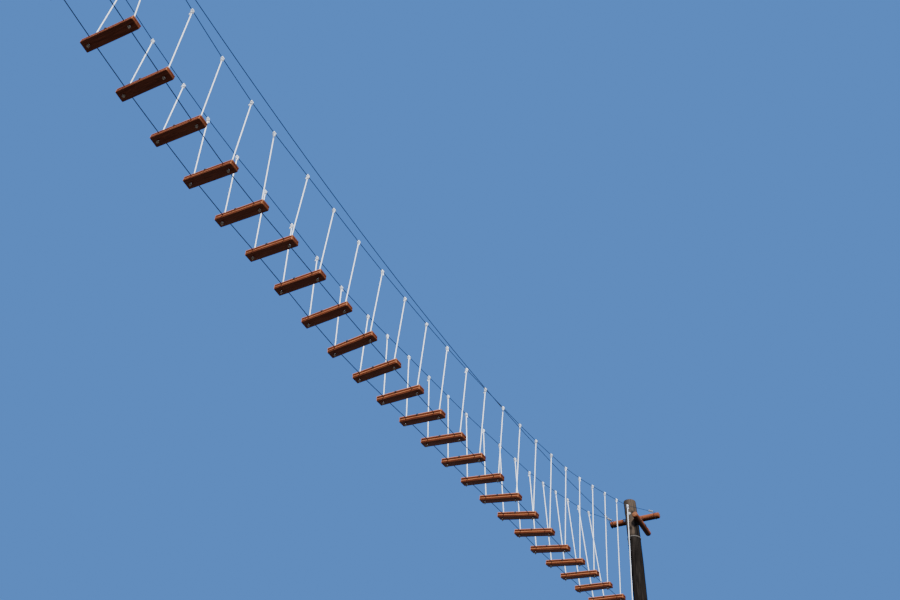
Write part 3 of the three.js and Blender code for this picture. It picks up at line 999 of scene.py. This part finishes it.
def hanger_parts(number, side_name, settings):
    """A hanger's straight run, the turns on the cable, the coil below them and the stopper knot."""
    side = SIDES[side_name]
    place = PLACES[number - 1]
    draw = random.Random(500 + number + 50 * side)
    clear = TREAD_SIZE.z / 2 + 0.012
    foot, over = (place @ Vector((0, side * HANGER_Y, z)) for z in (-clear, clear))
    rope = {"radius": HANGER_R, "strands": 3, "lay": settings.lay, "tone": draw.random(), "turn_step": 60}
    cable = hanger_top(number, side_name)
    down = (over - cable).normalized()
    before, after = max(number - 1, HUNG[0]), min(number + 1, HUNG[-1])
    along = (hanger_top(after, side_name) - hanger_top(before, side_name)).normalized()
    outward = down.cross(along).normalized()
    knot = cable + down * draw.uniform(settings.shortest_hitch, settings.longest_hitch)
    yield laid_rope([foot, over, knot], **rope), HERE

    worn = rope | {"soil": draw.uniform(0.0, 0.3), "turn_step": 36}
    yield laid_rope(round_turns(cable, knot, along, outward), **worn), HERE
    yield laid_rope(coil(knot, down, outward, draw.uniform(0, TURN)), **worn), HERE
    under = place @ Matrix.Translation((0, side * HANGER_Y, -TREAD_SIZE.z / 2))
    turned = under @ Matrix.Rotation(draw.uniform(0, TURN), 4, "Z")
    # The knot under the tread is fully darkened: painted shade, and soil.
    yield laid_rope(stopper_knot(), **rope, soil=1.0), turned


class FOOTBRIDGE_OT_hangers(bpy.types.Operator):
    """The laid ropes that carry the treads: a stopper knot below, a hitch on the hand cable above"""

    bl_idname = "footbridge.hangers"
    bl_label = "Hangers"

    def execute(self, context):
        settings = context.scene.footbridge_ropes
        material = rope_material(settings)
        for name in SIDES:
            parts = (part for number in HUNG for part in hanger_parts(number, name, settings))
            make_piece(f"hangers_{name}", parts, [material], [f"side_line_{name}"], sharp=80)
        return {"FINISHED"}


def arm_piece(node_name, way, draw, settings, woods):
    """A short log along X or Y, in its node's place."""
    low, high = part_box(node_name)
    length = (high - low).dot(way)
    rows = log_rows(length, log_radius(node_name) - 0.002)
    part = log(rows, draw, settings, knots=3, checks=2, lump=0.0035)
    place = pointing(way, (low + high - way * length) / 2)
    make_piece(f"{node_name}_log", [(part, place)], woods, [node_name], sharp=50)


def pole_piece(end, draw, settings, woods, count=90):
    """A tapering pole that sweeps a little to one side, with a dark coating below, a painted shadow of the
    arms that runs it up one side to them, and faint painted shade just under them.
    """
    node_name = f"pole_{end}"
    top = POLE_TOP[end]
    x = middle(node_name).x
    arm = middle(f"crossarm_{end}").z

    def thickness(z):
        return pole_at(end, z)[1] - 0.004

    heights = [(top - DOME) * (1 - (1 - i / count) ** 1.35) for i in range(count + 1)]
    rows = [(z, thickness(z)) for z in heights]
    for share in (0.35, 0.7, 0.9, 1.0):
        shrunk = thickness(top) - DOME * (1 - math.sqrt(1 - share ** 2 * 0.75))
        rows.append((top - DOME * (1 - share), shrunk))
    part = log(rows, draw, settings, knots=26, checks=7)
    (coat_and_arm_shadow,) = layers(part, "coat_and_arm_shadow")
    for vert in part.verts:
        flat = vert.co.to_2d()
        turned = flat.normalized().dot(ARM_SHADOW_SIDE) if flat.length else 0
        # Towards one side the dark coating runs up to the arms: a painted shadow of them. Just under the arms
        # a faint painted shade goes all round.
        edge = arm - settings.sling * (1 - limited((turned - 0.1) / 0.4))
        coat_with_shadow = limited((edge - vert.co.z) / 0.05 + 0.5)
        vert[coat_and_arm_shadow] = max(coat_with_shadow, 0.3 * limited((arm - vert.co.z) / 0.1))
        vert.co.y += pole_at(end, vert.co.z)[0]
        vert.co.x += x
    make_piece(f"{node_name}_log", [(part, HERE)], woods, [node_name], sharp=50)


def arm_bolts(end):
    """A through bolt wherever an arm or a beam crosses the pole: a head on one side, a nut on the other."""
    pole = middle(f"pole_{end}")
    facing = Vector((FACING[end], 0, 0))
    plate = middle(f"crossarm_{end}") + Vector((FACING[end] * 0.062, 0.2, 0))
    yield hex_bolt(*PLATE_BOLT), pointing(facing, plate)
    for slot, kind, out in ((0, "crossarm", -facing), (0, "foot_beam", facing), (1, "rear_arm", -Y_AXIS)):
        low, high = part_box(f"{kind}_{end}")
        arm = (low + high) / 2
        y, radius = pole_at(end, arm.z)
        on_arm = Vector((pole.x, arm.y, arm.z)) if out.y else Vector((arm.x, y, arm.z))
        on_pole = Vector((pole.x, y, arm.z))
        yield hex_bolt(*THROUGH_BOLT, slot), pointing(out, on_arm + out * ((high.z - low.z) / 2 - 0.003))
        yield hex_bolt(*THROUGH_BOLT, slot), pointing(-out, on_pole - out * (radius - 0.005))


def sling_line(end, below, turns=2, steps=96):
    """Two turns round a pole below its crossarm."""
    pole = middle(f"pole_{end}")
    height = middle(f"crossarm_{end}").z - below
    y, radius = pole_at(end, height)
    reach = radius + 0.002
    line = []
    for step in range(steps + 1):
        turn = turns * TURN * step / steps
        z = height + 0.02 * step / steps + 0.006 * math.sin(turn)
        line.append(Vector((pole.x + reach * math.cos(turn), y + reach * math.sin(turn), z)))
    return line


class FOOTBRIDGE_OT_logs(bpy.types.Operator):
    """The poles, crossarms, rear arms and foot beams, peeled logs with their bolts and slings"""

    bl_idname = "footbridge.logs"
    bl_label = "Logs"

    def execute(self, context):
        settings = context.scene.footbridge_logs
        ropes = context.scene.footbridge_ropes
        stained, zinc = settings.stained, context.scene.footbridge_cables.zinc
        pole_wood = [
            kept("weathered_log", log_wood, settings.weathered, (0.020, 0.016, 0.013), settings.coat_and_arm_shadow),
            kept("log_end_grain", end_grain, (0.34, 0.24, 0.15), (0.14, 0.09, 0.05)),
        ]
        arm_wood = [
            # The arms get the darkest painted shade underneath, nearly black.
            kept("stained_log", log_wood, stained, (0.11, 0.03, 0.012), stained, under=0.06),
            kept("stained_log_end", end_grain, (0.17, 0.075, 0.036), (0.09, 0.033, 0.016)),
        ]
        metals = [kept("galvanised", zinc_coat, zinc), kept("dark_bolt", dark_steel)]
        for number, end in enumerate(FACING):
            draw = random.Random(900 + number)
            pole_piece(end, draw, settings, pole_wood)
            for kind, way in (("crossarm", Y_AXIS), ("foot_beam", Y_AXIS), ("rear_arm", X_AXIS)):
                arm_piece(f"{kind}_{end}", way, draw, settings, arm_wood)
            make_piece(f"arm_bolts_{end}", arm_bolts(end), metals)
            line = sling_line(end, settings.sling)
            # The sling is darkened nearly fully: painted shade, and soil.
            sling = laid_rope(line, SLING_R, 3, ropes.lay, tone=draw.random(), soil=0.92)
            make_piece(f"pole_sling_{end}", [(sling, HERE)], [rope_material(ropes)], sharp=80)
        return {"FINISHED"}


def deck_parts(end, draw, settings, treads):
    """Boards across the bearers, with their screws; those that meet the pole stop short of it."""
    low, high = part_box(f"landing_deck_{end}")
    pole_x = middle(f"pole_{end}").x
    pole_y, radius = pole_at(end, high.z)
    clear = radius + 0.013
    low.x, high.x = low.x + 0.001, high.x - 0.001
    count = int((high.x - low.x + settings.gap) / (settings.board + settings.gap))
    wide = (high.x - low.x - settings.gap * (count - 1)) / count
    bearers = [middle(f"landing_bearer_{side}_{end}").y for side in SIDES]
    for number in range(count):
        x = low.x + wide / 2 + number * (wide + settings.gap)
        runs = [(low.y, high.y)]
        if abs(x - pole_x) < clear + wide / 2:
            runs = [(low.y, pole_y - clear), (pole_y + clear, high.y)]
        for start, stop in runs:
            start, stop = start + draw.uniform(0.0005, 0.004), stop - draw.uniform(0.0005, 0.004)
            size = (stop - start, wide, high.z - low.z - 0.002)
            at = Matrix.Translation((x, (start + stop) / 2, (low.z + high.z) / 2))
            yield board(size, draw, treads), at @ QUARTER
            for y in bearers:
                if not start < y < stop:
                    continue
                for across in (-0.04, 0.04):
                    at = Matrix.Translation((x + across, y + draw.uniform(-0.006, 0.006), high.z - 0.0022))
                    yield hex_bolt(*DECK_SCREW, slot=2), at


def bearer_parts(node_name, end, side, draw, treads):
    """A plank on edge at the pole's side, with two bolts."""
    low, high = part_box(node_name)
    size = high - low - Vector((0.003, 0.001, 0.001))
    yield board(size, draw, treads, cuts=8), Matrix.Translation((low + high) / 2)
    outward = Vector((0, SIDES[side], 0))
    face = (high if side == "left" else low).y - SIDES[side] * 0.0012
    for lift in (-0.05, 0.05):
        at = Vector((middle(f"pole_{end}").x, face, (low.z + high.z) / 2 + lift))
        yield hex_bolt(*BEARER_BOLT, slot=2), pointing(outward, at)


class FOOTBRIDGE_OT_landings(bpy.types.Operator):
    """The landings: deck boards laid round the pole, their bearers, screws and bolts"""

    bl_idname = "footbridge.landings"
    bl_label = "Landings"

    def execute(self, context):
        settings = context.scene.footbridge_landings
        treads = context.scene.footbridge_treads
        dark = scaled(settings.wood, 0.35)
        materials = [
            kept("landing_board", sawn_timber, settings.wood, dark, (0.40, 0.35, 0.28)),
            kept("landing_end_grain", end_grain, settings.wood, dark),
            kept("dark_bolt", dark_steel),
        ]
        for number, end in enumerate(FACING):
            draw = random.Random(1300 + number)
            deck = deck_parts(end, draw, settings, treads)
            make_piece(f"landing_boards_{end}", deck, materials, [f"landing_deck_{end}"])
            for side in SIDES:
                name = f"landing_bearer_{side}_{end}"
                parts = bearer_parts(name, end, side, draw, treads)
                make_piece(f"{name}_board", parts, materials, [name])
        return {"FINISHED"}


def add_floor(settings):
    ground = bmesh.new()
    bmesh.ops.create_circle(ground, cap_ends=True, segments=128, radius=FLOOR_R)
    put("floor", to_data("floor", ground, [kept("floor_paint", floor_paint, settings.floor)]))


def add_light(settings):
    """The even backdrop and the soft key light."""
    world = bpy.data.worlds.new("backdrop")
    world.use_nodes = True
    world.node_tree.nodes["Background"].inputs["Color"].default_value = (*settings.backdrop, 1)
    bpy.context.scene.world = world
    lamp = bpy.data.lights.new("key", "SUN")
    lamp.energy = settings.sun
    lamp.angle = math.radians(9)
    lamp.color = (1.0, 0.965, 0.91)
    put("key", lamp).rotation_euler = Vector(settings.sun_from).to_track_quat("Z", "Y").to_euler()


def add_camera(settings):
    heading, pitch, roll = settings.heading, settings.pitch, settings.roll
    level_part = Vector((math.cos(heading), math.sin(heading), 0)) * math.cos(pitch)
    ahead = level_part + Z_AXIS * math.sin(pitch)
    level = ahead.cross(Z_AXIS).normalized()
    upright = level.cross(ahead)
    right = level * math.cos(roll) + upright * math.sin(roll)
    up = upright * math.cos(roll) - level * math.sin(roll)
    lens = bpy.data.cameras.new("camera")
    lens.lens = settings.lens
    lens.sensor_width = 36
    lens.shift_y = settings.shift
    lens.clip_end = 2000
    camera = put("camera", lens)
    turn = Matrix((right, up, -ahead)).transposed().to_4x4()
    camera.matrix_world = Matrix.Translation(settings.camera) @ turn
    bpy.context.scene.camera = camera


class FOOTBRIDGE_OT_stage(bpy.types.Operator):
    """The floor, the backdrop, the soft key light and the camera"""

    bl_idname = "footbridge.stage"
    bl_label = "Stage"

    def execute(self, context):
        settings = context.scene.footbridge_stage
        add_floor(settings)
        add_light(settings)
        add_camera(settings)
        return {"FINISHED"}


OPERATORS = [
    FOOTBRIDGE_OT_treads,
    FOOTBRIDGE_OT_cables,
    FOOTBRIDGE_OT_hangers,
    FOOTBRIDGE_OT_logs,
    FOOTBRIDGE_OT_landings,
    FOOTBRIDGE_OT_stage,
]


class FOOTBRIDGE_PT_panel(bpy.types.Panel):
    bl_idname = "FOOTBRIDGE_PT_panel"
    bl_label = "Rope suspension footbridge"
    bl_space_type = "VIEW_3D"
    bl_region_type = "UI"
    bl_category = "Footbridge"

    def draw(self, context):
        for operator in OPERATORS:
            self.layout.operator(operator.bl_idname)
        for name in SETTINGS:
            box = self.layout.box()
            settings = getattr(context.scene, name)
            for field in settings.bl_rna.properties.keys():
                if field not in ("rna_type", "name"):
                    box.prop(settings, field)


CLASSES = [*SETTINGS.values(), *OPERATORS, FOOTBRIDGE_PT_panel]


def register():
    for made in CLASSES:
        bpy.utils.register_class(made)
    for name, settings in SETTINGS.items():
        setattr(bpy.types.Scene, name, PointerProperty(type=settings))


def unregister():
    for name in SETTINGS:
        delattr(bpy.types.Scene, name)
    for made in reversed(CLASSES):
        bpy.utils.unregister_class(made)


def main():
    register()
    bpy.ops.footbridge.treads()
    bpy.ops.footbridge.cables()
    bpy.ops.footbridge.hangers()
    bpy.ops.footbridge.logs()
    bpy.ops.footbridge.landings()
    bpy.ops.footbridge.stage()


if __name__ == "__main__":
    main()
